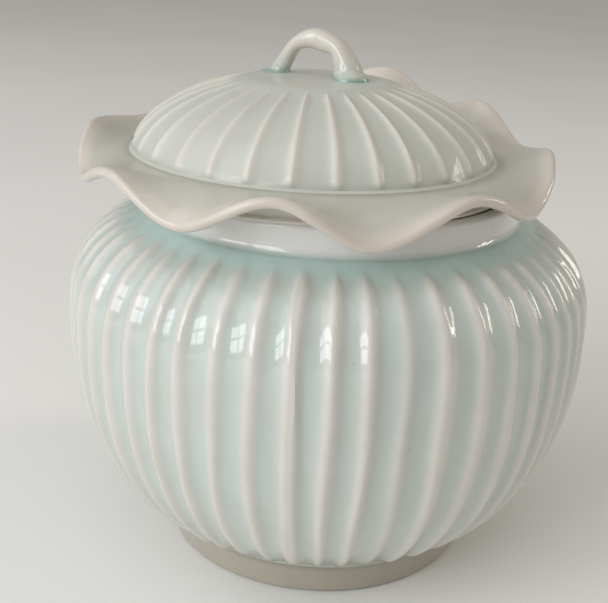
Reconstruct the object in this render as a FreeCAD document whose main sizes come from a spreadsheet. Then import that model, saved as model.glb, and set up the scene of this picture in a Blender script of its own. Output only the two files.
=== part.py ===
import FreeCAD, Part
import math
import os

import Sketcher
from FreeCAD import Placement, Rotation, Vector

# Covered jar of fluted porcelain, in millimetres.
# The jar stands on its foot ring at height 0, centred on the Z axis, with its front towards -Y.
# Azimuths are counted in degrees from the front towards +X.
# The lid has an axis of its own: it lies loose in the neck, a little to one side.

SIZES = [
    # jar
    ("belly_radius", 78.0),
    ("belly_height", 71.0),
    ("lower_fullness", 2.3),
    ("upper_fullness", 3.0),
    ("flute_depth", 1.4),
    ("flute_count", 50),
    ("first_ridge", -5.5),
    ("wall", 4.2),
    ("floor_height", 14.0),
    ("floor_edge_radius", 48.0),
    ("floor_radius", 44.0),
    # foot ring
    ("foot_height", 8.6),
    ("foot_radius", 46.6),
    ("foot_top_radius", 47.2),
    ("foot_bore_radius", 41.0),
    ("foot_bore_top_radius", 40.0),
    ("foot_round", 1.2),
    # neck
    ("neck_base", 105.0),
    ("neck_top", 113.0),
    ("neck_radius", 54.7),
    ("neck_bore_radius", 50.7),
    ("neck_round", 1.5),
    # lid
    ("lid_shift", -5.5),
    ("crown_shift", -1.0),
    ("seat_underside", 117.3),
    ("seat_top", 120.7),
    ("crown_base", 118.0),
    ("crown_rise", 24.9),
    ("crown_radius", 53.6),
    ("crown_fullness", 2.2),
    ("crown_wall", 2.8),
    ("crown_flute_depth", 1.0),
    ("crown_flute_count", 30),
    ("crown_first_ridge", -4.6),
    ("disc_radius", 20.0),
    ("leaf_radius", 69.4),
    ("leaf_thickness", 3.4),
    ("ring_radius", 44.8),
    ("ring_bore_radius", 41.3),
    ("ring_bottom", 109.3),
    ("ring_round", 1.2),
    ("rest_height", 113.3),
    ("rest_radius", 56.8),
    ("rest_edge_top", 114.3),
    ("rest_root_radius", 52.3),
    # handle
    ("loop_radius", 11.3),
    ("loop_thickness_radius", 2.6),
    ("loop_turn", -22.0),
    ("loop_offset_x", -1.6),
    ("loop_offset_y", 1.5),
    ("root_radius", 4.6),
    ("root_top_radius", 3.2),
    ("root_height", 1.8),
    ("root_round", 0.5),
]

# Crests and troughs of the leaf's edge, in turn round the lid: azimuth and height of the lower rim.
LEAF_EDGE = [
    (-94, 122.4), (-73, 112.3), (-50, 118.9), (-29, 110.3), (-7, 119.6), (14, 109.2),
    (37, 119.2), (61, 111.0), (85, 121.8), (110, 117.7), (129, 128.4), (142, 125.0),
    (161, 135.0), (188, 122.0), (210, 130.5), (238, 119.2), (266, 122.4),
]
LEAF_SPREAD = 1.8      # how late the waves grow between the crown and the leaf's edge
LEAF_DRAW = 0.15       # share of a crest's or trough's height by which the edge draws in
LEAF_SAMPLES = 120     # places round the leaf where its shape is worked out
LEAF_STEPS = 5         # and places between the crown and the edge

PANEL_ROWS = 14        # places along one flute where its shape is worked out
PANEL_COLUMNS = 8      # and places across it
LEVEL = 0.01           # a lean or a step smaller than this counts as none
OVERRUN = 1.0          # how far a cutting solid stands past the face it opens

doc = FreeCAD.newDocument("covered_jar")
sheet = doc.addObject("Spreadsheet::Sheet", "sizes")
for row, (alias, value) in enumerate(SIZES, start=1):
    sheet.set("A%d" % row, alias)
    sheet.set("B%d" % row, str(value))
    sheet.setAlias("B%d" % row, alias)
doc.recompute()


def cell(alias):
    return float(sheet.get(alias))


def around(radius, azimuth, height):
    """A point at an azimuth in degrees, on a circle about the Z axis."""
    angle = math.radians(azimuth)
    return Vector(radius * math.sin(angle), -radius * math.cos(angle), height)


# ---- outlines in the half plane of radius and height ----

def wall_outline(radius, end, fullness):
    """One half of the jar wall's outline, from 0 at the belly to 1 at its end point."""
    middle = cell("belly_height")
    side = 1 if end[1] > middle else -1
    gap = abs(end[1] - middle)
    half_height = gap / (1 - (end[0] / radius) ** fullness) ** (1 / fullness)
    end_angle = math.atan2(gap, end[0])

    def outline(along):
        angle = along * end_angle
        across = (math.cos(angle) / radius) ** fullness
        upright = (math.sin(angle) / half_height) ** fullness
        distance = (across + upright) ** (-1 / fullness)
        return distance * math.cos(angle), middle + side * distance * math.sin(angle)

    return outline


def crown_outline(inset, base, top_radius):
    """The lid crown's outline as a function of 0 (base height) to 1 (top radius)."""
    radius = cell("crown_radius") - inset
    rise = cell("crown_rise") - inset
    power = 2 / cell("crown_fullness")
    start = math.asin((base - cell("crown_base")) / rise)
    end = math.acos((top_radius / radius) ** (1 / power))

    def outline(along):
        angle = start + along * (end - start)
        return radius * math.cos(angle) ** power, cell("crown_base") + rise * math.sin(angle)

    return outline


def outward(outline, along):
    """Unit vector that leaves an outline at right angles, away from the axis."""
    step = 0.001
    low = outline(max(0, along - step))
    high = outline(min(1, along + step))
    length = math.dist(low, high)
    out_r = (high[1] - low[1]) / length
    out_z = (low[0] - high[0]) / length
    if abs(out_z) < LEVEL:
        return 1.0, 0.0
    if out_r < 0:
        return -out_r, -out_z
    return out_r, out_z


# ---- fluted and turned solids ----

def channel(share):
    """Depth across one flute: 0 on the ridge at share 0, 1 in the channels at -0.5 and 0.5."""
    return math.sin(math.pi * share) ** 2


def fade(along, start, end):
    """Depth along a flute: it rises from 0 over a share start and falls to 0 over a share end."""
    near = min(1, along / start if start else 1, (1 - along) / end)
    return near * near * (3 - 2 * near)


def fluted_solid(outline, count, depth, fades):
    """A solid with flutes along its outline, closed by flat caps at both ends."""
    rows = []
    for i in range(PANEL_ROWS + 1):
        along = i / PANEL_ROWS
        radius, height = outline(along)
        out_r, out_z = outward(outline, along)
        row = []
        for j in range(PANEL_COLUMNS + 1):
            share = j / PANEL_COLUMNS - 0.5
            sink = depth * fade(along, *fades) * channel(share)
            row.append(around(radius - sink * out_r, share * 360 / count, height - sink * out_z))
        rows.append(row)
    surface = Part.BSplineSurface()
    surface.interpolate(rows)
    panel = surface.toShape()
    panels = []
    for i in range(int(count)):
        turned = panel.copy()
        turned.rotate(Vector(), Vector(0, 0, 1), i * 360 / count)
        panels.append(turned)
    caps = []
    for _, height in (outline(0), outline(1)):
        level = [edge for face in panels for edge in face.Edges
                 if all(abs(vertex.Z - height) < 1e-6 for vertex in edge.Vertexes)]
        caps.append(Part.Face(Part.Wire(Part.__sortEdges__(level))))
    return closed_solid(panels + caps)


def closed_solid(faces):
    """One solid bounded by faces that meet edge to edge."""
    shell = Part.makeShell(faces)
    shell.sewShape()
    solid = Part.makeSolid(shell)
    if solid.Volume < 0:
        solid.reverse()
    return solid


def revolve_closed(edges):
    """The solid that a closed outline in the XZ plane sweeps about the Z axis."""
    face = Part.Face(Part.Wire(Part.__sortEdges__(edges)))
    solid = face.revolve(Vector(), Vector(0, 0, 1), 360)
    if solid.Volume < 0:
        solid.reverse()
    return solid


def segments(points):
    return [Part.LineSegment(a, b).toShape() for a, b in zip(points, points[1:])]


def outline_edge(outline, samples):
    """A smooth edge in the XZ plane along an outline."""
    points = []
    for i in range(samples + 1):
        radius, height = outline(i / samples)
        points.append(Vector(radius, 0, height))
    curve = Part.BSplineCurve()
    curve.interpolate(points)
    return curve.toShape(), points[0], points[-1]


def shaped_feature(name, shape):
    feature = doc.addObject("Part::Feature", name)
    feature.Shape = shape
    return feature


def hollowed(name, outside, inside):
    """A Part::Cut of one feature by another, which is a node of its own."""
    cut = doc.addObject("Part::Cut", name)
    cut.Base = outside
    cut.Tool = inside
    cut.Label = name
    return cut


# ---- pieces turned from a sketch ----

def origin_plane(body, role):
    return next(item for item in body.Origin.OriginFeatures if item.Role == role)


def turned_piece(name, corners, rounds):
    """A body revolved from a polygon whose corners are (radius alias, height alias) pairs.

    An alias of None puts the corner on the axis or at height 0.
    rounds holds (corner number, alias of the fillet radius) pairs.
    """
    body = doc.addObject("PartDesign::Body", name)
    body.Label = name
    sketch = body.newObject("Sketcher::SketchObject", name + "_section")
    sketch.AttachmentSupport = [(origin_plane(body, "XZ_Plane"), "")]
    sketch.MapMode = "FlatFace"
    places = [(cell(r) if r else 0.0, cell(z) if z else 0.0) for r, z in corners]
    count = len(places)
    for i in range(count):
        start = Vector(*places[i], 0)
        end = Vector(*places[(i + 1) % count], 0)
        sketch.addGeometry(Part.LineSegment(start, end), False)
    for i in range(count):
        sketch.addConstraint(Sketcher.Constraint("Coincident", i, 2, (i + 1) % count, 1))
    for i, (radius_alias, height_alias) in enumerate(corners):
        for alias, kind, value, axis in (
            (radius_alias, "DistanceX", places[i][0], -2),
            (height_alias, "DistanceY", places[i][1], -1),
        ):
            if alias is None:
                sketch.addConstraint(Sketcher.Constraint("PointOnObject", i, 1, axis))
                continue
            number = sketch.addConstraint(Sketcher.Constraint(kind, -1, 1, i, 1, value))
            sketch.setExpression("Constraints[%d]" % number, "sizes." + alias)
    turned = body.newObject("PartDesign::Revolution", name + "_turned")
    turned.Profile = sketch
    turned.ReferenceAxis = (sketch, ["V_Axis"])
    turned.Angle = 360
    doc.recompute()
    for alias in sorted({alias for _, alias in rounds}):
        base = body.Tip
        rims = [places[corner] for corner, used in rounds if used == alias]
        fillet = body.newObject("PartDesign::Fillet", name + "_" + alias)
        fillet.Base = (base, circles_at(base.Shape, rims))
        fillet.setExpression("Radius", "sizes." + alias)
        doc.recompute()
    return body


def circles_at(shape, rims):
    """Names of the circular edges that lie at the given (radius, height) places."""
    names = []
    for number, edge in enumerate(shape.Edges, start=1):
        if not isinstance(edge.Curve, Part.Circle):
            continue
        place = (edge.Curve.Radius, edge.Curve.Center.z)
        if any(math.dist(place, rim) < 0.01 for rim in rims):
            names.append("Edge%d" % number)
    return names


# ---- the jar ----

def make_wall(name, end, fullness, inner_end, below_inner):
    """One fluted half of the jar wall, from the belly to the foot or the neck."""
    outside = fluted_solid(
        wall_outline(cell("belly_radius"), end, fullness),
        cell("flute_count"), cell("flute_depth"), (0, 0.15),
    )
    outside.rotate(Vector(), Vector(0, 0, 1), cell("first_ridge"))
    inner = wall_outline(cell("belly_radius") - cell("wall"), inner_end, fullness)
    edge, belly, last = outline_edge(inner, PANEL_ROWS)
    past_belly = belly.z + math.copysign(OVERRUN, belly.z - last.z)
    past_end = end[1] + math.copysign(OVERRUN, last.z - belly.z)
    corners = [
        Vector(below_inner, 0, last.z),
        Vector(below_inner, 0, past_end),
        Vector(0, 0, past_end),
        Vector(0, 0, past_belly),
        Vector(belly.x, 0, past_belly),
        belly,
    ]
    if last.distanceToPoint(corners[0]) > LEVEL:
        corners.insert(0, last)
    cavity = revolve_closed([edge] + segments(corners))
    return hollowed(
        name, shaped_feature(name + "_outside", outside), shaped_feature(name + "_cavity", cavity)
    )


def make_lower_wall():
    return make_wall(
        "jar_lower_wall", (cell("foot_top_radius"), cell("foot_height")), cell("lower_fullness"),
        (cell("floor_edge_radius"), cell("floor_height")), cell("floor_radius"),
    )


def make_upper_wall():
    return make_wall(
        "jar_upper_wall", (cell("neck_radius"), cell("neck_base")), cell("upper_fullness"),
        (cell("neck_bore_radius"), cell("neck_base")), cell("neck_bore_radius"),
    )


def make_floor():
    corners = [
        (None, "foot_height"),
        ("floor_radius", "foot_height"),
        ("floor_radius", "floor_height"),
        (None, "floor_height"),
    ]
    return turned_piece("jar_floor", corners, [])


def make_foot_ring():
    corners = [
        ("foot_bore_radius", None),
        ("foot_radius", None),
        ("foot_top_radius", "foot_height"),
        ("foot_bore_top_radius", "foot_height"),
    ]
    return turned_piece("foot_ring", corners, [(0, "foot_round"), (1, "foot_round")])


def make_neck_collar():
    corners = [
        ("neck_bore_radius", "neck_base"),
        ("neck_radius", "neck_base"),
        ("neck_radius", "neck_top"),
        ("neck_bore_radius", "neck_top"),
    ]
    return turned_piece("neck_collar", corners, [(2, "neck_round"), (3, "neck_round")])


# ---- the lid, about its own axis ----

def make_lid_dome():
    base = cell("seat_top")
    outside = fluted_solid(
        crown_outline(0, base, cell("disc_radius")),
        cell("crown_flute_count"), cell("crown_flute_depth"), (0.12, 0.1),
    )
    outside.rotate(Vector(), Vector(0, 0, 1), cell("crown_first_ridge"))
    inner = crown_outline(cell("crown_wall"), base, cell("disc_radius"))
    edge, low, high = outline_edge(inner, PANEL_ROWS)
    below = base - OVERRUN
    rest = segments([high, Vector(0, 0, high.z), Vector(0, 0, below), Vector(low.x, 0, below), low])
    cavity = revolve_closed([edge] + rest)
    return hollowed(
        "lid_dome", shaped_feature("crown_outside", outside), shaped_feature("crown_cavity", cavity)
    )


def leaf_edge_height(azimuth):
    """Height of the middle of the leaf's edge: cosine waves from each crest to the next trough."""
    start = LEAF_EDGE[0][0]
    azimuth = start + (azimuth - start) % 360
    for (left, left_height), (right, right_height) in zip(LEAF_EDGE, LEAF_EDGE[1:]):
        if left <= azimuth <= right:
            share = (azimuth - left) / (right - left)
            blend = (1 - math.cos(math.pi * share)) / 2
            height = left_height + blend * (right_height - left_height)
            return height + cell("leaf_thickness") / 2
    raise ValueError("azimuth outside the leaf's edge")


def leaf_loop(share, side):
    """Closed edge round the leaf at a share of its width, on its upper (1) or lower (-1) side."""
    crown_foot = crown_outline(0, cell("seat_top"), cell("disc_radius"))(0)[0]
    inner_radius = crown_foot + abs(cell("crown_shift"))
    middle = (cell("seat_top") + cell("seat_underside")) / 2
    points = []
    for i in range(LEAF_SAMPLES):
        azimuth = i * 360 / LEAF_SAMPLES
        lift = leaf_edge_height(azimuth) - middle
        outer_radius = cell("leaf_radius") - LEAF_DRAW * abs(lift)
        radius = inner_radius + share * (outer_radius - inner_radius)
        height = middle + lift * share ** LEAF_SPREAD + side * cell("leaf_thickness") / 2
        points.append(around(radius, azimuth, height))
    curve = Part.BSplineCurve()
    curve.interpolate(Points=points, PeriodicFlag=True)
    return Part.Wire(curve.toShape())


def make_lotus_leaf_brim():
    """A flat ring that carries the crown, and the wavy leaf that grows out of it."""
    shares = [i / LEAF_STEPS for i in range(LEAF_STEPS + 1)]
    upper = [leaf_loop(share, 1) for share in shares]
    lower = [leaf_loop(share, -1) for share in shares]
    faces = []
    for loops in (upper, lower):
        faces += Part.makeLoft(loops, False, False).Faces
    faces += Part.makeLoft([upper[-1], lower[-1]], False, True).Faces
    bore = cell("ring_bore_radius")
    bores = []
    for height in (cell("seat_top"), cell("seat_underside")):
        bores.append(Part.Wire(Part.makeCircle(bore, Vector(0, 0, height))))
    for outer, inner in zip((upper[0], lower[0]), bores):
        faces.append(Part.makeFace([outer, inner], "Part::FaceMakerBullseye"))
    faces += Part.makeLoft(bores, False, True).Faces
    brim = shaped_feature("lotus_leaf_brim", closed_solid(faces))
    brim.Label = "lotus_leaf_brim"
    return brim


def make_locating_ring():
    """The flange that rests on the neck, and the ring below it that drops into the neck."""
    corners = [
        ("ring_bore_radius", "ring_bottom"),
        ("ring_radius", "ring_bottom"),
        ("ring_radius", "rest_height"),
        ("rest_radius", "rest_height"),
        ("rest_radius", "rest_edge_top"),
        ("rest_root_radius", "seat_underside"),
        ("ring_bore_radius", "seat_underside"),
    ]
    return turned_piece("lid_locating_ring", corners, [(0, "ring_round"), (1, "ring_round")])


# ---- the handle on the crown's plain disc ----

def make_handle_loop():
    """Half of a round ring that stands on its two roots."""
    ring = doc.addObject("Part::Torus", "handle_ring")
    ring.setExpression("Radius1", "sizes.loop_radius")
    ring.setExpression("Radius2", "sizes.loop_thickness_radius")
    ring.Placement = Placement(Vector(), Rotation(Vector(1, 0, 0), 90))
    below = doc.addObject("Part::Box", "below_roots")
    for side in ("Length", "Width", "Height"):
        below.setExpression(side, "4 * sizes.loop_radius")
    below.setExpression("Placement.Base.x", "-2 * sizes.loop_radius")
    below.setExpression("Placement.Base.y", "-2 * sizes.loop_radius")
    below.setExpression("Placement.Base.z", "sizes.root_height - 4 * sizes.loop_radius")
    return hollowed("handle_loop", ring, below)


def make_handle_root(name):
    corners = [
        (None, None),
        ("root_radius", None),
        ("root_top_radius", "root_height"),
        (None, "root_height"),
    ]
    return turned_piece(name, corners, [(1, "root_round")])


def place(piece, x=0.0, y=0.0, z=0.0, turn=0.0):
    piece.Placement = Placement(Vector(x, y, z), Rotation(Vector(0, 0, 1), turn))


jar_pieces = [make_lower_wall(), make_upper_wall(), make_floor(), make_foot_ring(), make_neck_collar()]
for piece in jar_pieces:
    place(piece)

dome = make_lid_dome()
place(dome, x=cell("lid_shift") + cell("crown_shift"))
lid_pieces = [dome]
for piece in (make_lotus_leaf_brim(), make_locating_ring()):
    place(piece, x=cell("lid_shift"))
    lid_pieces.append(piece)

disc_height = crown_outline(0, cell("seat_top"), cell("disc_radius"))(1)[1]
handle_x = cell("lid_shift") + cell("loop_offset_x")
handle_y = cell("loop_offset_y")
turn = cell("loop_turn")
loop = make_handle_loop()
place(loop, handle_x, handle_y, disc_height, turn)
handle_pieces = [loop]
for name, side in (("handle_root_left", -1), ("handle_root_right", 1)):
    root = make_handle_root(name)
    along = Rotation(Vector(0, 0, 1), turn).multVec(Vector(side * cell("loop_radius"), 0, 0))
    place(root, handle_x + along.x, handle_y + along.y, disc_height)
    handle_pieces.append(root)

doc.recompute()

# ---- checks and files ----

pieces = jar_pieces + lid_pieces + handle_pieces
for item in doc.Objects:
    if "Invalid" in item.State or "Error" in item.State:
        raise RuntimeError("%s did not recompute: %s" % (item.Name, item.State))
for piece in pieces:
    shape = piece.Shape
    if shape.isNull() or not shape.isValid() or shape.Volume <= 0:
        raise RuntimeError("%s has no valid solid" % piece.Label)
    if piece.TypeId == "Part::Cut" and piece.Shape.Volume > 0.999 * piece.Base.Shape.Volume:
        raise RuntimeError("%s was not cut" % piece.Label)

os.makedirs("parts", exist_ok=True)
for piece in pieces:
    piece.Shape.exportStep("parts/%s.step" % piece.Label)
    box = piece.Shape.BoundBox
    print("%-18s volume %9.0f  x %6.1f..%6.1f  y %6.1f..%6.1f  z %6.1f..%6.1f" % (
        piece.Label, piece.Shape.Volume, box.XMin, box.XMax, box.YMin, box.YMax, box.ZMin, box.ZMax))
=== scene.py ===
import math

import bpy
import numpy as np
from mathutils import Matrix, Vector


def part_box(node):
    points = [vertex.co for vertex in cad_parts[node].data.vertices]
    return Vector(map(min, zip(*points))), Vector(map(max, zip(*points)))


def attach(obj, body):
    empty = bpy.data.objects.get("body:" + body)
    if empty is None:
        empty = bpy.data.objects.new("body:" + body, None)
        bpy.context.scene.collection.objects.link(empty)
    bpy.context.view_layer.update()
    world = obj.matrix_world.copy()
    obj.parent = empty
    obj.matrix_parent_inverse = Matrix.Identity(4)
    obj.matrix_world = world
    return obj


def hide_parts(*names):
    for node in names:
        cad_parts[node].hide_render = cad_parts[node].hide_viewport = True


# Looks of a covered jar of fluted celadon porcelain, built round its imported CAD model.
# Shapes are worked out in millimetres and turned into metres where a mesh is made.
# Azimuths are counted in degrees from the front (-Y) towards +X, as in the CAD model.

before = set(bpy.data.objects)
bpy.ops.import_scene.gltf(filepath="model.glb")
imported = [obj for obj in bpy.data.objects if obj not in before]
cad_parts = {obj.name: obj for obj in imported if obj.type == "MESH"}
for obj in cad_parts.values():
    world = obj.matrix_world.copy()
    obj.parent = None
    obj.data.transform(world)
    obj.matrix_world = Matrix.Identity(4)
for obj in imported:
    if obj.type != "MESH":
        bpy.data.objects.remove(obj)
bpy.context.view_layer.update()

MM = 0.001


def box_mm(*nodes):
    """Lowest and highest corner of some CAD nodes together, in millimetres."""
    corners = [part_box(node) for node in nodes]
    low = np.min([np.array(pair[0]) for pair in corners], axis=0)
    high = np.max([np.array(pair[1]) for pair in corners], axis=0)
    return low / MM, high / MM


def radius_of(node):
    """Radius of a CAD node with a round plan, in millimetres."""
    low, high = box_mm(node)
    return (high[1] - low[1]) / 2


lower_low, lower_high = box_mm("jar_lower_wall")
floor_low, floor_high = box_mm("jar_floor")
neck_low, neck_high = box_mm("neck_collar")
dome_low, dome_high = box_mm("lid_dome")
ring_low, ring_high = box_mm("lid_locating_ring")

# the jar
BELLY_RADIUS = 77.9
BELLY_HEIGHT = lower_high[2]
WALL = 4.2
FLOOR_TOP = floor_high[2]
FLOOR_UNDERSIDE = floor_low[2]
FOOT_UNDER = lower_low[2]
NECK_RADIUS = radius_of("neck_collar")
NECK_WALL = 4.0
NECK_BORE = NECK_RADIUS - NECK_WALL
NECK_BASE = neck_low[2]
NECK_TOP = neck_high[2]
FOOT_TOP_RADIUS = radius_of("foot_ring")
FOOT_TAPER = 0.6
FOOT_RADIUS = FOOT_TOP_RADIUS - FOOT_TAPER
FOOT_BORE = 41.0

# the lid, which lies to the left of the jar's axis, and its crown a little further
LID_X = (ring_low[0] + ring_high[0]) / 2
CROWN_SHIFT = -1.0
CROWN_X = LID_X + CROWN_SHIFT
REST_GAP = 0.3         # between the neck's lip and the flange that rests on it
REST_RADIUS = radius_of("lid_locating_ring")
REST_HEIGHT = NECK_TOP + REST_GAP
RING_RADIUS = 44.8
RING_BORE = 41.3
RING_BOTTOM = ring_low[2]
SEAT_UNDERSIDE = ring_high[2]
SEAT_TOP = dome_low[2]
DISC_HEIGHT = dome_high[2]

# outlines and ribs: a higher fullness makes a squarer curve
LOWER_FULLNESS = 2.3
UPPER_FULLNESS = 3.0
RIB_COUNT = 50
FIRST_RIB = -5.5
RIB_DEPTH = 1.5

CROWN_RADIUS = 53.6
CROWN_BASE = 118.0
CROWN_RISE = 24.9
CROWN_FULLNESS = 2.2
CROWN_WALL = 2.8
CROWN_RIB_COUNT = 30
CROWN_FIRST_RIB = -4.6
CROWN_RIB_DEPTH = 1.1
DISC_RADIUS = 20.0

LEAF_RADIUS = 69.2
# Azimuths and heights of the crests and troughs of the leaf's edge, in turn round the lid.
LEAF_EDGE = [
    (-94, 122.4), (-73, 112.3), (-50, 118.9), (-29, 110.3), (-7, 119.6), (14, 109.2),
    (37, 119.2), (61, 111.0), (85, 121.8), (110, 117.7), (129, 128.4), (142, 125.0),
    (161, 135.0), (188, 122.0), (210, 130.5), (238, 119.2), (266, 122.4),
]
EDGE_LIFT = 1.7        # from those heights up to the middle of the leaf's edge
LEAF_SPREAD = 1.8      # how late the waves grow between the crown and the edge
LEAF_ROOT = 0.55       # share of the leaf's width over which its underside thickens to the flange
LEAF_DRAW = 0.15       # how far the edge draws in for each millimetre that it rises or falls
LEAF_THICK = 3.5
LEAF_THIN = 2.9        # the same at the edge

chance = np.random.RandomState(11)


# ---- small tools ----

def smooth(x):
    """A soft step from 0 to 1 while x goes from 0 to 1."""
    x = np.clip(x, 0.0, 1.0)
    return x * x * (3 - 2 * x)


def around(radius, azimuth, height):
    """Points at azimuths in degrees, on circles about the Z axis."""
    angle = np.radians(azimuth)
    return np.stack(np.broadcast_arrays(radius * np.sin(angle), -radius * np.cos(angle), height), axis=-1)


def bend(start, corner, end, count):
    """Points along a soft corner, without its two ends."""
    t = np.linspace(0, 1, count + 2)[1:-1, None]
    start, corner, end = (np.array(p, float) for p in (start, corner, end))
    return (1 - t) ** 2 * start + 2 * t * (1 - t) * corner + t ** 2 * end


def quarter_round(centre, radius, start, end, count):
    """Points along an arc in the half plane of radius and height, angles in degrees."""
    angle = np.radians(np.linspace(start, end, count))
    return np.stack([centre[0] + radius * np.cos(angle), centre[1] + radius * np.sin(angle)], axis=-1)


def line(start, end, count):
    """Points along a straight stretch, with its start and without its end."""
    t = np.linspace(0, 1, count, endpoint=False)[:, None]
    return (1 - t) * np.array(start, float) + t * np.array(end, float)


class Profile:
    """A smooth outline in the half plane of radius and height, read by the distance along it."""

    def __init__(self, points):
        self.points = np.array(points, float)
        steps = np.linalg.norm(np.diff(self.points, axis=0), axis=1)
        self.at = np.concatenate([[0], np.cumsum(steps)])
        self.length = self.at[-1]
        along = np.gradient(self.points, self.at, axis=0)
        along /= np.linalg.norm(along, axis=1)[:, None]
        self.out = np.stack([along[:, 1], -along[:, 0]], axis=-1)

    def place(self, distance):
        return np.stack([np.interp(distance, self.at, self.points[:, i]) for i in (0, 1)], axis=-1)

    def outward(self, distance):
        return np.stack([np.interp(distance, self.at, self.out[:, i]) for i in (0, 1)], axis=-1)


def build(name, vertices, faces, values, body, replaced, material, sharp=40):
    """A finished piece: its mesh, its finish, the body it rides on and the CAD nodes it stands for."""
    mesh = bpy.data.meshes.new(name)
    mesh.from_pydata((np.asarray(vertices) * MM).tolist(), [], faces)
    mesh.validate()
    for key, numbers in values.items():
        attribute = mesh.attributes.new(key, "FLOAT", "POINT")
        attribute.data.foreach_set("value", np.asarray(numbers, np.float32))
    mesh.shade_smooth()
    mesh.set_sharp_from_angle(angle=math.radians(sharp))
    mesh.materials.append(material)
    piece = bpy.data.objects.new(name, mesh)
    bpy.context.scene.collection.objects.link(piece)
    dress(piece, body, replaced)
    return piece


def dress(piece, body, replaced):
    """Ties a piece to its body, and hides the CAD nodes it stands for."""
    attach(piece, body)
    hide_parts(*replaced)


def woven(name, rows, values, body, replaced, material, poles=False, sharp=40):
    """A closed mesh woven from rows of points that each run once round the axis.

    With poles the first and last row are closed by fans, and otherwise the last row joins the first.
    """
    rows = np.asarray(rows)
    count, columns = rows.shape[:2]
    vertices = rows.reshape(-1, 3)
    faces = []
    for i in range(count - 1 if poles else count):
        j = (i + 1) % count
        for k in range(columns):
            m = (k + 1) % columns
            faces.append((i * columns + k, i * columns + m, j * columns + m, j * columns + k))
    numbers = {key: np.asarray(array).reshape(-1) for key, array in values.items()}
    if poles:
        ends = [(0, False), (count - 1, True)]
        for row, last in ends:
            centre = len(vertices)
            vertices = np.vstack([vertices, rows[row].mean(axis=0)])
            numbers = {key: np.append(array, array[row * columns]) for key, array in numbers.items()}
            for k in range(columns):
                m = (k + 1) % columns
                pair = (row * columns + k, row * columns + m)
                faces.append((*pair, centre) if last else (*pair[::-1], centre))
    return build(name, vertices, faces, numbers, body, replaced, material, sharp)


# ---- finishes ----

def linear(red, green, blue):
    """A colour as the shaders take it, from its usual 0 to 255 values."""
    shares = [value / 255 for value in (red, green, blue)]
    return tuple(s / 12.92 if s <= 0.04045 else ((s + 0.055) / 1.055) ** 2.4 for s in shares) + (1.0,)


class Nodes:
    """A material's node tree, with short ways to add to it."""

    def __init__(self, name):
        self.material = bpy.data.materials.new(name)
        self.material.use_nodes = True
        self.tree = self.material.node_tree
        self.shader = self.tree.nodes["Principled BSDF"]
        self.place = self.add("ShaderNodeTexCoord").outputs["Object"]

    def add(self, kind, **settings):
        made = self.tree.nodes.new(kind)
        for key, value in settings.items():
            setattr(made, key, value)
        return made

    def feed(self, value, socket):
        if isinstance(value, bpy.types.NodeSocket):
            self.tree.links.new(value, socket)
        else:
            socket.default_value = value

    def noise(self, scale, detail=2.0, roughness=0.5):
        made = self.add("ShaderNodeTexNoise")
        self.feed(self.place, made.inputs["Vector"])
        made.inputs["Scale"].default_value = scale
        made.inputs["Detail"].default_value = detail
        made.inputs["Roughness"].default_value = roughness
        return made.outputs[0]

    def attribute(self, name):
        return self.add("ShaderNodeAttribute", attribute_name=name).outputs["Fac"]

    def math(self, operation, first, second):
        made = self.add("ShaderNodeMath", operation=operation)
        self.feed(first, made.inputs[0])
        self.feed(second, made.inputs[1])
        return made.outputs[0]

    def spread(self, value, start, end, low=0.0, high=1.0):
        made = self.add("ShaderNodeMapRange", interpolation_type="SMOOTHSTEP")
        self.feed(value, made.inputs["Value"])
        for key, number in (("From Min", start), ("From Max", end), ("To Min", low), ("To Max", high)):
            made.inputs[key].default_value = number
        return made.outputs["Result"]

    def mix(self, share, first, second):
        made = self.add("ShaderNodeMix", data_type="RGBA", blend_type="MIX")
        self.feed(share, made.inputs[0])
        self.feed(first, made.inputs[6])
        self.feed(second, made.inputs[7])
        return made.outputs[2]

    def bump(self, height, distance, strength=1.0, below=None):
        made = self.add("ShaderNodeBump")
        self.feed(height, made.inputs["Height"])
        made.inputs["Distance"].default_value = distance
        made.inputs["Strength"].default_value = strength
        if below is not None:
            self.feed(below, made.inputs["Normal"])
        return made.outputs["Normal"]


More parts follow.
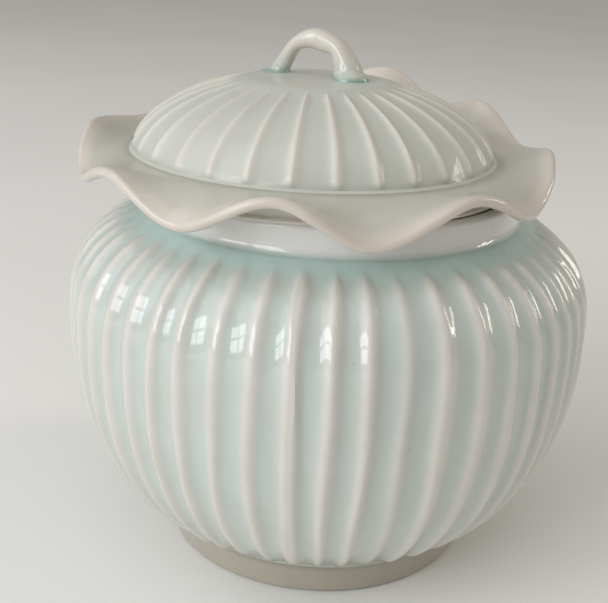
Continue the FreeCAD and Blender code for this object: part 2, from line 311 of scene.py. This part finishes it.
def glaze(name, ridge, channel, pool_and_shade, gloss=1.0):
    """Celadon glaze: thin and warm on the ridges, thick and blue-green where it has run together. Its pool
    colour and mask also carry painted shade: in part in the lid's crease, and wholly under the leaf and on
    the foot.
    """
    nodes = Nodes(name)
    shader = nodes.shader
    drift = nodes.noise(16, 3)
    mottle = nodes.noise(95, 4, 0.6)
    grain = nodes.noise(620, 2)
    wander = nodes.math("MULTIPLY", nodes.math("SUBTRACT", drift, 0.5), 0.35)
    thin = nodes.spread(nodes.math("ADD", nodes.attribute("ridge"), wander), 0.12, 0.8)
    colour = nodes.mix(thin, channel, ridge)
    # the pool mask: pooled glaze, and on some pieces painted shade
    pooled_and_shaded = nodes.math("ADD", nodes.attribute("pool_and_shade"), nodes.math("MULTIPLY", wander, 0.6))
    colour = nodes.mix(nodes.spread(pooled_and_shaded, 0.05, 0.95), colour, pool_and_shade)
    shade = nodes.spread(mottle, 0.25, 0.75, 0.0, 0.09)
    colour = nodes.mix(shade, colour, linear(150, 140, 122))
    pits = nodes.spread(grain, 0.76, 0.82, 0.0, 0.35)
    colour = nodes.mix(pits, colour, linear(128, 108, 84))
    nodes.feed(colour, shader.inputs["Base Color"])
    nodes.feed(nodes.spread(mottle, 0.2, 0.8, 0.34, 0.5), shader.inputs["Roughness"])
    flow = nodes.bump(nodes.noise(42, 2), 0.0009, 0.35)
    peel = nodes.bump(nodes.noise(260, 2), 0.00012, 0.5, flow)
    nodes.feed(peel, shader.inputs["Normal"])
    coat_flow = nodes.bump(nodes.noise(48, 2), 0.0006, 0.3)
    nodes.feed(coat_flow, shader.inputs["Coat Normal"])
    shader.inputs["IOR"].default_value = 1.5
    shader.inputs["Specular IOR Level"].default_value = 0.35
    shader.inputs["Coat Weight"].default_value = gloss
    shader.inputs["Coat Roughness"].default_value = 0.05
    shader.inputs["Coat IOR"].default_value = 1.52
    shader.inputs["Subsurface Weight"].default_value = 0.12
    shader.inputs["Subsurface Radius"].default_value = (1.0, 0.95, 0.85)
    shader.inputs["Subsurface Scale"].default_value = 0.0012
    return nodes.material


def bare_porcelain(name):
    """Fired clay without glaze, dry and slightly sandy."""
    nodes = Nodes(name)
    shader = nodes.shader
    patches = nodes.noise(40, 4)
    sand = nodes.noise(900, 3, 0.7)
    colour = nodes.mix(nodes.spread(patches, 0.3, 0.7), linear(220, 214, 206), linear(208, 202, 193))
    colour = nodes.mix(nodes.spread(sand, 0.6, 0.8, 0.0, 0.3), colour, linear(150, 128, 102))
    nodes.feed(colour, shader.inputs["Base Color"])
    nodes.feed(nodes.spread(patches, 0.2, 0.8, 0.62, 0.8), shader.inputs["Roughness"])
    nodes.feed(nodes.bump(sand, 0.00025, 0.6), shader.inputs["Normal"])
    shader.inputs["Specular IOR Level"].default_value = 0.3
    return nodes.material


RIDGE = linear(211, 207, 201)
CHANNEL = linear(191, 200, 194)
POOL = linear(184, 209, 205)

jar_glaze = glaze("jar_glaze", RIDGE, CHANNEL, POOL)
neck_glaze = glaze("neck_glaze", linear(226, 224, 222), linear(217, 220, 217), linear(176, 202, 195))
# The foot's glaze is the jar's made darker and warmer as painted shade and a painted dark reflection; its
# brown pool colour is painted shade.
foot_glaze = glaze("foot_glaze", linear(170, 162, 148), linear(164, 160, 146), linear(120, 110, 94))
# The crown's and the leaf's grey-green pool colours stand for pooled glaze round the handle's roots, for
# pooled glaze and painted shade together in the crease, and for painted shade under the leaf.
crown_glaze = glaze("crown_glaze", linear(212, 208, 200), linear(196, 198, 190), linear(156, 166, 154), 0.3)
leaf_glaze = glaze("leaf_glaze", linear(208, 199, 189), linear(190, 188, 177), linear(158, 160, 146), 0.6)
handle_glaze = glaze("handle_glaze", linear(206, 200, 190), linear(184, 192, 182), linear(120, 158, 146))
clay = bare_porcelain("bare_porcelain")


# ---- the jar ----

def half_wall(radius, end, fullness, count):
    """One half of the wall's outline, from the belly to its end point."""
    middle = BELLY_HEIGHT
    side = 1 if end[1] > middle else -1
    gap = abs(end[1] - middle)
    half_height = gap / (1 - (end[0] / radius) ** fullness) ** (1 / fullness)
    angle = np.linspace(0, math.atan2(gap, end[0]), count)
    across = (np.cos(angle) / radius) ** fullness
    upright = (np.sin(angle) / half_height) ** fullness
    reach = (across + upright) ** (-1 / fullness)
    return np.stack([reach * np.cos(angle), middle + side * reach * np.sin(angle)], axis=-1)


def whole_wall(radius, foot_end, neck_end):
    lower = half_wall(radius, foot_end, LOWER_FULLNESS, 300)
    upper = half_wall(radius, neck_end, UPPER_FULLNESS, 200)
    return Profile(np.vstack([lower[::-1], upper[1:]]))


outer = whole_wall(BELLY_RADIUS, (FOOT_TOP_RADIUS, FOOT_UNDER), (NECK_RADIUS, NECK_BASE))
inner = whole_wall(BELLY_RADIUS - WALL, (48.0, FLOOR_TOP), (NECK_BORE, NECK_BASE))
SHOULDER_SEAM = 1.4   # distance from the neck along the shoulder at which the neck's soft corner starts
FOOT_SEAM = 2.2       # and the same above the foot


def cord(share):
    """Height across one rib: 1 on its crest at share 0, 0 in the channels at -0.5 and 0.5."""
    share = np.clip(np.abs(share), 0, 0.5)
    return 0.45 * np.cos(math.pi * share) ** 2 + 0.55 * np.exp(-(share / 0.19) ** 2.4)


def rib_columns(count, steps, first):
    """Azimuths of columns that crowd on the crests, and each column's place across its rib."""
    turn = np.arange(steps) / steps * 2 - 1
    share = 0.5 * np.sign(turn) * np.abs(turn) ** 1.25
    rib = np.repeat(np.arange(count), steps)
    share = np.tile(share, count)
    return first + (rib + share) * 360 / count, share, rib


def hand_cut(azimuth):
    """How far a rib that was cut by hand stands from its even place, in degrees."""
    a = np.radians(azimuth)
    return (0.83 * np.sin(4 * a - math.radians(42)) + 0.38 * np.sin(6 * a + math.radians(173))
            + 0.45 * np.sin(9 * a + math.radians(115)))


def rib_depth(distance):
    """How deep the channels lie at a distance from the foot: they run out at both ends."""
    end = smooth((outer.length - distance) / 9.0 + 0.05) * smooth(distance / 8.0 + 0.05)
    return RIB_DEPTH * end * np.interp(distance, outer.at, outer.points[:, 0]) / BELLY_RADIUS


def channel_level(distance):
    """The wall's surface between the ribs, which is also its surface where they have died out."""
    return outer.place(distance) - rib_depth(distance) * outer.outward(distance)


def make_jar_wall():
    """The fluted wall with its ribs, its smooth inside and the floor, in one closed skin."""
    azimuth, share, rib = rib_columns(RIB_COUNT, 12, FIRST_RIB)
    azimuth = azimuth + hand_cut(azimuth)
    columns = len(azimuth)
    strength = (1 + 0.16 * chance.standard_normal(RIB_COUNT))[rib]
    turn = np.radians(azimuth)
    phase = 3 * np.sin(5 * turn) + 2 * np.sin(11 * turn + 1)
    sway = 0.24   # degrees by which a rib leaves its azimuth on its way down
    neck_tip = (SHOULDER_SEAM + 0.4 + 0.6 * chance.random_sample(RIB_COUNT))[rib]
    foot_tip = (FOOT_SEAM + 0.2 + 0.8 * chance.random_sample(RIB_COUNT))[rib]

    rows, ridges, pools_and_shade = [], [], []

    def plain(points, ridge, pool_and_shade):
        for radius, height in points:
            rows.append(around(radius, azimuth, height))
            ridges.append(np.full(columns, ridge))
            pools_and_shade.append(np.full(columns, pool_and_shade))

    floor_edge = (40.0, FLOOR_TOP + 0.6)
    cove_corner = (50.0, FLOOR_TOP + 0.8)
    cove_end = 8.0
    bottom = line((1.5, FLOOR_TOP + 0.4), floor_edge, 5)
    cove = bend(floor_edge, cove_corner, inner.place(cove_end), 5)
    inside = inner.place(np.linspace(cove_end, inner.length, 24))
    plain(bottom, 0.25, 0.25)
    plain(cove, 0.2, 0.6)
    plain(inside, 0.35, 0.1)

    upper_run, lower_run = outer.length - 18, 20
    distances = np.concatenate([
        np.linspace(outer.length - SHOULDER_SEAM, upper_run, 18, endpoint=False),
        np.linspace(upper_run, lower_run, 44, endpoint=False),
        np.linspace(lower_run, FOOT_SEAM, 20),
    ])
    for distance in distances:
        place = outer.place(distance)
        out = outer.outward(distance)
        to_neck = outer.length - distance
        fade = smooth((to_neck - neck_tip) / 10.0) * smooth((distance - foot_tip) / 9.0)
        wander = sway * np.sin(distance / 17 + phase) + 0.5 * sway * np.sin(distance / 7.3 + 2 * phase)
        height = strength * fade * cord(share / (0.6 + 0.4 * fade))
        sink = rib_depth(distance) * (1 - np.minimum(height, 1.0))
        rows.append(around(place[0] - sink * out[0], azimuth + wander, place[1] - sink * out[1]))
        ridges.append(height)
        near_neck = 0.9 * np.exp(-((to_neck - SHOULDER_SEAM) / 8.0) ** 2)
        near_foot = 0.3 * np.exp(-((distance - FOOT_SEAM) / 4.0) ** 2)
        pools_and_shade.append(np.full(columns, near_neck + near_foot) * (1 - 0.6 * height))
    underside = line((FOOT_BORE - 1.0, FLOOR_UNDERSIDE), (2.0, FLOOR_UNDERSIDE), 4)
    plain(underside, 0.4, 0.0)
    return woven(
        "jar_wall", rows, {"ridge": ridges, "pool_and_shade": pools_and_shade}, "jar",
        ["jar_lower_wall", "jar_upper_wall", "jar_floor"], jar_glaze, poles=True,
    )


def turned(name, sections, columns, body, replaced, material, centre=0.0):
    """A piece with a round plan. Each section is (points, ridge, pool), and they close into one loop."""
    azimuth = np.arange(columns) * 360 / columns
    rows, ridges, pools_and_shade = [], [], []
    for points, ridge, pool_and_shade in sections:
        tints = np.linspace(*np.resize(ridge, 2), len(points))
        pool_and_shade_shares = np.linspace(*np.resize(pool_and_shade, 2), len(points))
        for (radius, height), tint, pooled_and_shaded in zip(points, tints, pool_and_shade_shares):
            ring = around(radius, azimuth, height)
            ring[:, 0] += centre
            rows.append(ring)
            ridges.append(np.full(columns, tint))
            pools_and_shade.append(np.full(columns, pooled_and_shaded))
    return woven(name, rows, {"ridge": ridges, "pool_and_shade": pools_and_shade}, body, replaced, material)


def make_neck():
    """The upright rim, its soft corner on the shoulder and its rounded lip."""
    seam = channel_level(outer.length - SHOULDER_SEAM)
    foot = (NECK_RADIUS, NECK_BASE + 2.0)
    corner = (NECK_RADIUS + 0.1, NECK_BASE + 0.1)
    lip = 1.7
    start = (NECK_RADIUS, NECK_TOP - lip)
    sections = [
        (np.array([seam]), 0.0, 0.8),
        (bend(seam, corner, foot, 9), (0.2, 0.9), (0.7, 0.0)),
        (line(foot, start, 6), (0.9, 0.8), 0.0),
        (quarter_round((NECK_RADIUS - lip, NECK_TOP - lip), lip, 0, 90, 10), (0.9, 1.0), 0.0),
        (quarter_round((NECK_BORE + lip, NECK_TOP - lip), lip, 90, 180, 8), (1.0, 0.8), 0.0),
        (line((NECK_BORE, NECK_TOP - lip - 0.5), (NECK_BORE, NECK_BASE), 6), (0.7, 0.4), (0.0, 0.2)),
    ]
    return turned("jar_neck", sections, 240, "jar", ["neck_collar"], neck_glaze)


def make_foot():
    """The ring that the jar stands on, with its soft corner under the belly and its bottom edge, both
    darkened by painted shade.
    """
    seam = channel_level(FOOT_SEAM)
    corner = (FOOT_TOP_RADIUS + 0.3, FOOT_UNDER + 0.4)
    wall_start = (FOOT_TOP_RADIUS, FOOT_UNDER - 1.6)
    turn = 1.3
    # the last value of each section mixes in the foot glaze's brown as painted shade, in the corner under
    # the belly and on the bottom edge
    sections = [
        (np.array([seam]), 0.2, 0.3),
        (bend(seam, corner, wall_start, 8), (0.2, 0.4), (0.5, 0.1)),
        (line(wall_start, (FOOT_RADIUS, turn), 6), (0.6, 0.7), 0.0),
        (quarter_round((FOOT_RADIUS - turn, turn), turn, 0, -90, 7), (0.7, 0.3), (0.0, 0.8)),
        (quarter_round((FOOT_BORE + turn, turn), turn, -90, -180, 7), (0.3, 0.7), (0.8, 0.0)),
        (line((FOOT_BORE, turn + 0.5), (FOOT_BORE - 1.0, FLOOR_UNDERSIDE), 5), 0.6, (0.0, 0.3)),
    ]
    return turned("jar_foot", sections, 240, "jar", ["foot_ring"], foot_glaze)


# ---- the lid ----

def leaf_edge_height(azimuth):
    """Height of the middle of the leaf's edge: cosine waves from each crest to the next trough."""
    start = LEAF_EDGE[0][0]
    azimuth = start + (azimuth - start) % 360
    places = np.array([place for place, _ in LEAF_EDGE], float)
    heights = np.array([height for _, height in LEAF_EDGE])
    span = np.clip(np.searchsorted(places, azimuth, side="right") - 1, 0, len(places) - 2)
    share = (azimuth - places[span]) / (places[span + 1] - places[span])
    blend = (1 - np.cos(math.pi * share)) / 2
    return heights[span] + blend * (heights[span + 1] - heights[span]) + EDGE_LIFT


def crown_profile(inset, low, top_radius, count):
    """The crown's outline from a height up to a radius."""
    radius = CROWN_RADIUS - inset
    rise = CROWN_RISE - inset
    power = 2 / CROWN_FULLNESS
    start = math.asin((low - CROWN_BASE) / rise)
    end = math.acos((top_radius / radius) ** (1 / power))
    angle = np.linspace(start, end, count)
    return Profile(np.stack([radius * np.cos(angle) ** power, CROWN_BASE + rise * np.sin(angle)], axis=-1))


CREASE_RADIUS = float(crown_profile(0, SEAT_TOP, DISC_RADIUS, 300).place(0)[0])
SEAT_MIDDLE = (SEAT_TOP + SEAT_UNDERSIDE) / 2


def leaf_middle(share, azimuth):
    """The surface halfway through the leaf, from the crown (0) to the edge (1)."""
    lift = leaf_edge_height(azimuth) - SEAT_MIDDLE
    reach = LEAF_RADIUS - LEAF_THIN / 2 - LEAF_DRAW * np.abs(lift)
    radius = CREASE_RADIUS + share * (reach - CREASE_RADIUS)
    return around(radius, azimuth, SEAT_MIDDLE + lift * np.sign(share) * np.abs(share) ** LEAF_SPREAD)


def make_leaf():
    """The brim: a sheet that waves like a lotus leaf, thick at the flange and round at its edge."""
    columns = 720
    azimuth = np.arange(columns) * 360 / columns
    width, crease_pool_and_shade_width = 17, 3.2
    shares = np.linspace(0, 1, 26) ** 0.85
    middle = np.array([leaf_middle(share, azimuth) for share in shares])
    across = np.gradient(middle, axis=0)
    round_about = np.roll(middle, -1, axis=1) - np.roll(middle, 1, axis=1)
    normal = np.cross(round_about, across)
    normal /= np.linalg.norm(normal, axis=-1, keepdims=True)
    normal *= np.sign(normal[..., 2:3])
    outward = np.cross(normal, round_about)
    outward /= np.linalg.norm(outward, axis=-1, keepdims=True)
    outward *= np.sign(np.sum(outward * across, axis=-1, keepdims=True))
    thickness = (LEAF_THICK + (LEAF_THIN - LEAF_THICK) * shares)[:, None, None]

    rows = [around(RING_BORE + 3, azimuth, REST_HEIGHT + 2), around(RING_BORE + 3, azimuth, SEAT_TOP)]
    ridges = [np.full(columns, 0.3)] * 2
    pools_and_shade = [np.zeros(columns)] * 2
    for i, share in enumerate(shares):
        rows.append(middle[i] + normal[i] * thickness[i] / 2)
        ridges.append(np.full(columns, 0.25 + 0.55 * smooth((share - 0.7) / 0.3)))
        # pooled glaze and painted shade together, strongest in the crease at the crown
        pools_and_shade.append(np.full(columns, 0.75 * math.exp(-(share * width / crease_pool_and_shade_width) ** 2)))
    for angle in np.radians(np.linspace(90, -90, 13))[1:-1]:
        offset = normal[-1] * math.sin(angle) + outward[-1] * math.cos(angle)
        rows.append(middle[-1] + offset * LEAF_THIN / 2)
        ridges.append(np.full(columns, 1.0))
        pools_and_shade.append(np.zeros(columns))
    under = middle - normal * thickness / 2
    for i in range(len(shares) - 1, -1, -1):
        near = smooth(1 - shares[i] / LEAF_ROOT)
        sunk = under[i].copy()
        sunk[:, 2] += near * (REST_HEIGHT + 0.4 - sunk[:, 2])
        rows.append(sunk)
        ridges.append(np.full(columns, 0.3 + 0.5 * smooth((shares[i] - 0.7) / 0.3)))
        # painted shade under the leaf
        pools_and_shade.append(np.full(columns, 0.25))
    rows = np.array(rows)
    rows[..., 0] += LID_X
    return woven(
        "lotus_leaf", rows, {"ridge": ridges, "pool_and_shade": pools_and_shade}, "lid",
        ["lotus_leaf_brim"], leaf_glaze,
    )


# places of the handle's two pressed-down ends, from the lid's axis
LEFT_ROOT = np.array([-13.2, 9.2])
RIGHT_ROOT = np.array([8.9, -2.4])


def crown_rib(share):
    """Height across one rib of the crown: a slim crest between two hollow panels."""
    share = np.clip(np.abs(share), 0, 0.5)
    return 0.6 * (1 - np.sin(math.pi * share)) ** 1.3 + 0.4 * np.exp(-(share / 0.12) ** 2)


def make_dome():
    """The fluted crown with its plain disc, and the soft crease in which it meets the leaf."""
    azimuth, share, rib = rib_columns(CROWN_RIB_COUNT, 16, CROWN_FIRST_RIB)
    azimuth = azimuth + 0.6 * np.sin(np.radians(3 * azimuth + 70)) + 0.4 * np.sin(np.radians(7 * azimuth))
    columns = len(azimuth)
    outline = crown_profile(0, SEAT_TOP, DISC_RADIUS, 300)
    cavity = crown_profile(CROWN_WALL, SEAT_TOP, DISC_RADIUS, 100)
    strength = (1 + 0.08 * chance.standard_normal(CROWN_RIB_COUNT))[rib]
    low_tip = (0.3 + 0.5 * chance.random_sample(CROWN_RIB_COUNT))[rib]

    rows, ridges, pools_and_shade = [], [], []
    for radius in (2.0, 12.0):
        rows.append(around(radius, azimuth, DISC_HEIGHT - CROWN_WALL))
    for distance in np.linspace(cavity.length, 0, 16):
        place = cavity.place(distance)
        rows.append(around(place[0], azimuth, place[1]))
    ridges += [np.full(columns, 0.3)] * len(rows)
    pools_and_shade += [np.full(columns, 0.1)] * len(rows)

    flare = 1.5
    foot_share = flare / (LEAF_RADIUS - CREASE_RADIUS)
    leaf_top = leaf_middle(foot_share, azimuth)[:, 2] + LEAF_THICK / 2 - 0.5
    lift = 0.8
    joined = outline.place(lift)
    for t in np.linspace(0, 1, 8, endpoint=False):
        first, middle, last = (1 - t) ** 2, 2 * t * (1 - t), t ** 2
        radius = first * (CREASE_RADIUS + flare) + middle * CREASE_RADIUS + last * joined[0]
        height = first * leaf_top + middle * (SEAT_TOP + 0.1) + last * joined[1]
        sink = CROWN_RIB_DEPTH * 0.75 * t
        rows.append(around(radius - sink, azimuth, height))
        ridges.append(np.full(columns, 0.45))
        # pooled glaze and painted shade together, in the crease
        pools_and_shade.append(np.full(columns, 0.35 * t))
    for distance in np.linspace(lift, outline.length, 52):
        place = outline.place(distance)
        out = outline.outward(distance)
        to_disc = outline.length - distance
        fade = smooth((distance - low_tip) / 2.0) * smooth((to_disc + 0.2) / 7.0)
        height = strength * fade * crown_rib(share / (0.6 + 0.4 * fade))
        low_end = 0.75 + 0.25 * smooth((distance - lift) / 4.0)
        depth = CROWN_RIB_DEPTH * low_end * (0.3 + 0.7 * place[0] / CROWN_RADIUS) * smooth(to_disc / 8.0)
        sink = depth * (1 - np.minimum(height, 1.0))
        rows.append(around(place[0] - sink * out[0], azimuth, place[1] - sink * out[1]))
        ridges.append(height)
        # pooled glaze and painted shade together at the ribs' low ends, by the crease
        low = 0.35 * np.exp(-((distance - lift) / 2.2) ** 2)
        pools_and_shade.append(np.full(columns, low) * (1 - 0.8 * height))
    rim = outline.place(outline.length)
    disc_swell = 0.3
    for radius in np.linspace(rim[0], 1.5, 14)[1:]:
        rows.append(around(radius, azimuth, rim[1] + disc_swell * (1 - (radius / rim[0]) ** 2)))
        ridges.append(np.full(columns, 0.3))
        pools_and_shade.append(np.zeros(columns))
    rows = np.array(rows)
    on_disc = rows[..., 2] > DISC_HEIGHT - 2.0
    for root, spread in ((LEFT_ROOT, 4.2), (RIGHT_ROOT, 3.4)):
        gap = np.linalg.norm(rows[..., :2] - root + (CROWN_X - LID_X, 0), axis=-1)
        pools_and_shade = np.asarray(pools_and_shade) + on_disc * 0.8 * np.exp(-(gap / spread) ** 2)
    rows[..., 0] += CROWN_X
    return woven(
        "lid_crown", rows, {"ridge": ridges, "pool_and_shade": pools_and_shade}, "lid",
        ["lid_dome"], crown_glaze, poles=True,
    )


def make_ring():
    """The flange that rests on the neck, and the ring below it that drops into the neck, both bare."""
    turn = 1.3
    edge = 0.5
    sections = [
        (line((RING_RADIUS, REST_HEIGHT), (RING_RADIUS, RING_BOTTOM + turn), 6), 0.5, 0.0),
        (quarter_round((RING_RADIUS - turn, RING_BOTTOM + turn), turn, 0, -90, 7), 0.5, 0.0),
        (quarter_round((RING_BORE + turn, RING_BOTTOM + turn), turn, -90, -180, 7), 0.5, 0.0),
        (line((RING_BORE, RING_BOTTOM + turn + 0.5), (RING_BORE, SEAT_TOP), 7), 0.5, 0.0),
        (line((RING_BORE, SEAT_TOP), (CREASE_RADIUS - 2, SEAT_TOP - 0.5), 3), 0.5, 0.0),
        (line((CREASE_RADIUS - 2, SEAT_TOP - 0.5), (REST_RADIUS - 1.5, REST_HEIGHT + 1.5), 4), 0.5, 0.0),
        (quarter_round((REST_RADIUS - edge, REST_HEIGHT + edge), edge, 60, -90, 8), 0.5, 0.0),
        (line((REST_RADIUS - 1, REST_HEIGHT), (RING_RADIUS + 0.2, REST_HEIGHT), 4), 0.5, 0.0),
    ]
    return turned(
        "lid_ring", sections, 240, "lid", ["lid_locating_ring"], clay, centre=LID_X,
    )


# The handle's stem from its left root over the top to its right root:
# place (x and y from the lid's axis, height), half width in the loop's plane, half width across it,
# and the trim on the inner side that keeps the record's finger_gap opening free.
STEM = [
    (-13.2, 9.8, 140.2, 2.6, 2.8, 0.8),
    (-11.8, 8.8, 142.4, 3.0, 2.7, 0.8),
    (-9.6, 7.4, 145.8, 3.0, 2.6, 1.4),
    (-6.6, 5.6, 150.1, 3.0, 2.8, 1.9),
    (-2.8, 3.8, 152.2, 3.0, 3.0, 0.2),
    (0.8, 2.4, 151.6, 3.3, 3.2, 0.3),
    (3.8, 1.2, 149.9, 4.0, 3.4, 2.8),
    (6.0, 0.2, 146.0, 4.8, 3.6, 2.4),
    (7.2, -0.6, 143.0, 5.2, 4.0, 1.6),
    (7.6, -1.2, 140.4, 4.8, 4.0, 1.6),
]


def smooth_path(points, steps):
    """A curve through all the points, and its values between them (Catmull-Rom)."""
    points = np.array(points, float)
    padded = np.vstack([2 * points[0] - points[1], points, 2 * points[-1] - points[-2]])
    t = (np.arange(steps) / steps)[:, None]
    made = []
    for a, b, c, d in zip(padded, padded[1:], padded[2:], padded[3:]):
        made.append(0.5 * (2 * b + (c - a) * t + (2 * a - 5 * b + 4 * c - d) * t ** 2
                           + (3 * b - a - 3 * c + d) * t ** 3))
    return np.vstack([*made, points[-1:]])


def trimmed_stem():
    """The drawn stem with its inner side cut back by each point's trim; the outer side stays."""
    drawn = np.array(STEM)
    chord = drawn[-1, :2] - drawn[0, :2]
    chord /= np.linalg.norm(chord)
    left_leg = np.arange(len(drawn)) < len(drawn) / 2
    trim = drawn[:, 5]
    stem = drawn[:, :5].copy()
    stem[:, :2] += (np.where(left_leg, -trim, trim) / 2)[:, None] * chord
    stem[:, 3] -= trim / 2
    return stem


def make_handle():
    """A rolled stem bent into a loop and pressed down at both ends."""
    path = smooth_path(trimmed_stem(), 8)
    centre = path[:, :3]
    along = np.gradient(centre, axis=0)
    along /= np.linalg.norm(along, axis=1)[:, None]
    chord = centre[-1] - centre[0]
    side = np.cross(chord, (0, 0, 1))
    side /= np.linalg.norm(side)
    in_plane = np.cross(along, side)
    in_plane /= np.linalg.norm(in_plane, axis=1)[:, None]
    sides = 28
    angle = np.arange(sides) / sides * 2 * math.pi
    power = 2 / 2.3
    flat = np.sign(np.cos(angle)) * np.abs(np.cos(angle)) ** power
    tall = np.sign(np.sin(angle)) * np.abs(np.sin(angle)) ** power
    rings = (centre[:, None] + in_plane[:, None] * flat[None, :, None] * path[:, 3, None, None]
             + side * tall[None, :, None] * path[:, 4, None, None])
    vertices = rings.reshape(-1, 3)
    faces = []
    for i in range(len(rings) - 1):
        for k in range(sides):
            m = (k + 1) % sides
            faces.append((i * sides + k, i * sides + m, (i + 1) * sides + m, (i + 1) * sides + k))
    faces.append(tuple(range(sides))[::-1])
    faces.append(tuple((len(rings) - 1) * sides + k for k in range(sides)))
    lats, lons = 13, 24
    lat = np.radians(np.linspace(-80, 80, lats))
    lon = np.radians(np.arange(lons) * 360 / lons)
    for root, (wide, deep), high in ((LEFT_ROOT, (5.0, 4.2), 2.2), (RIGHT_ROOT, (5.4, 5.0), 5.6)):
        first = len(vertices)
        knob = np.stack([
            root[0] + wide * np.cos(lat)[:, None] * np.cos(lon),
            root[1] + deep * np.cos(lat)[:, None] * np.sin(lon),
            np.broadcast_to(DISC_HEIGHT - 0.2 + high * np.sin(lat)[:, None] * 0.6, (lats, lons)),
        ], axis=-1).reshape(-1, 3)
        vertices = np.vstack([vertices, knob])
        for i in range(lats - 1):
            here, above = first + i * lons, first + (i + 1) * lons
            for k in range(lons):
                m = (k + 1) % lons
                faces.append((here + k, here + m, above + m, above + k))
        faces.append(tuple(first + k for k in range(lons))[::-1])
        faces.append(tuple(first + (lats - 1) * lons + k for k in range(lons)))
    vertices = vertices + (LID_X, 0, 0)
    mesh = bpy.data.meshes.new("handle")
    mesh.from_pydata((vertices * MM).tolist(), [], faces)
    piece = bpy.data.objects.new("handle", mesh)
    bpy.context.scene.collection.objects.link(piece)
    remesh = piece.modifiers.new("fuse", "REMESH")
    remesh.mode = "VOXEL"
    remesh.voxel_size = 0.36 * MM
    soften = piece.modifiers.new("soften", "SMOOTH")
    soften.factor = 0.6
    soften.iterations = 14
    fused = bpy.data.meshes.new_from_object(piece.evaluated_get(bpy.context.evaluated_depsgraph_get()))
    bpy.data.objects.remove(piece)
    fused.name = "handle_loop"
    heights = np.array([v.co.z for v in fused.vertices]) / MM
    for key, numbers in (
        ("ridge", 0.35 + 0.5 * smooth((heights - DISC_HEIGHT - 2) / 8)),
        ("pool_and_shade", 0.75 * np.exp(-((heights - DISC_HEIGHT) / 1.5) ** 2)),
    ):
        attribute = fused.attributes.new(key, "FLOAT", "POINT")
        attribute.data.foreach_set("value", numbers.astype(np.float32))
    fused.shade_smooth()
    fused.materials.clear()
    fused.materials.append(handle_glaze)
    piece = bpy.data.objects.new("handle_stem", fused)
    bpy.context.scene.collection.objects.link(piece)
    dress(piece, "lid", ["handle_loop", "handle_root_left", "handle_root_right"])
    return piece


make_jar_wall()
make_neck()
make_foot()
make_leaf()
make_dome()
make_ring()
make_handle()


# ---- floor, light and camera ----

def make_floor():
    """A plain pale ground to stand on."""
    nodes = Nodes("floor_paper")
    tone = nodes.spread(nodes.noise(3, 3), 0.3, 0.7)
    colour = nodes.mix(tone, (0.84, 0.83, 0.81, 1), (0.87, 0.86, 0.84, 1))
    nodes.feed(colour, nodes.shader.inputs["Base Color"])
    nodes.shader.inputs["Roughness"].default_value = 0.8
    nodes.shader.inputs["Specular IOR Level"].default_value = 0.2
    half = 5.0
    mesh = bpy.data.meshes.new("floor")
    corners = [(-half, -half, 0), (half, -half, 0), (half, half, 0), (-half, half, 0)]
    mesh.from_pydata(corners, [], [(0, 1, 2, 3)])
    mesh.materials.append(nodes.material)
    floor = bpy.data.objects.new("floor", mesh)
    bpy.context.scene.collection.objects.link(floor)


AIM = Vector((0, 0, 0.08))


def softbox(name, azimuth, elevation, distance, width, height, power, colour, panes=(1, 1), gap=0.05):
    """A window or a softbox seen from the jar at an azimuth and elevation, in panes with bars between."""
    a, e = math.radians(azimuth), math.radians(elevation)
    back = Vector((math.sin(a) * math.cos(e), -math.cos(a) * math.cos(e), math.sin(e)))
    across = Vector((math.cos(a), math.sin(a), 0))
    up = back.cross(across)
    turn = Matrix((across, up, back)).transposed().to_4x4()
    wide, tall = width / panes[0], height / panes[1]
    for i in range(panes[0]):
        for j in range(panes[1]):
            light = bpy.data.lights.new("%s_%d_%d" % (name, i, j), "AREA")
            light.shape = "RECTANGLE"
            light.size = wide - gap
            light.size_y = tall - gap
            light.energy = power / (panes[0] * panes[1])
            light.color = colour
            lamp = bpy.data.objects.new(light.name, light)
            offset = across * (i - (panes[0] - 1) / 2) * wide + up * (j - (panes[1] - 1) / 2) * tall
            lamp.matrix_world = Matrix.Translation(AIM + back * distance + offset) @ turn
            bpy.context.scene.collection.objects.link(lamp)


def make_light():
    """Two windows, a pale wall, the ceiling and the room's own dim light."""
    world = bpy.data.worlds.new("room")
    world.use_nodes = True
    world.node_tree.nodes["Background"].inputs["Color"].default_value = (1.0, 0.97, 0.92, 1)
    world.node_tree.nodes["Background"].inputs["Strength"].default_value = 0.38
    bpy.context.scene.world = world
    softbox("window_left", -46, 20, 1.3, 0.95, 0.75, 8.5, (0.93, 0.97, 1.0), (2, 2), 0.06)
    softbox("wall_left", -75, 38, 1.7, 1.8, 1.5, 8, (0.96, 0.98, 1.0))
    softbox("window_right", 104, 22, 1.3, 0.24, 0.66, 2.8, (1.0, 0.94, 0.84), (2, 1), 0.05)
    softbox("ceiling", -20, 78, 1.5, 1.4, 1.4, 3, (1.0, 0.98, 0.95))
    bpy.context.scene.view_settings.view_transform = "Standard"


def make_camera():
    """The camera as it was fitted to the photo: place in metres, and yaw, pitch and roll."""
    data = bpy.data.cameras.new("camera")
    data.sensor_width = 36
    data.lens = 61.5
    data.clip_start = 0.01
    camera = bpy.data.objects.new("camera", data)
    yaw, pitch, roll = (math.radians(angle) for angle in (-1.34, 19.92, 2.72))
    forward = Vector((math.sin(yaw) * math.cos(pitch), math.cos(yaw) * math.cos(pitch), -math.sin(pitch)))
    level = Vector((math.cos(yaw), -math.sin(yaw), 0))
    upright = level.cross(forward)
    right = level * math.cos(roll) + upright * math.sin(roll)
    up = upright * math.cos(roll) - level * math.sin(roll)
    turn = Matrix((right, up, -forward)).transposed().to_4x4()
    camera.matrix_world = Matrix.Translation((0, -0.3027, 0.1827)) @ turn
    bpy.context.scene.collection.objects.link(camera)
    bpy.context.scene.camera = camera


make_floor()
make_light()
make_camera()

bpy.context.view_layer.update()
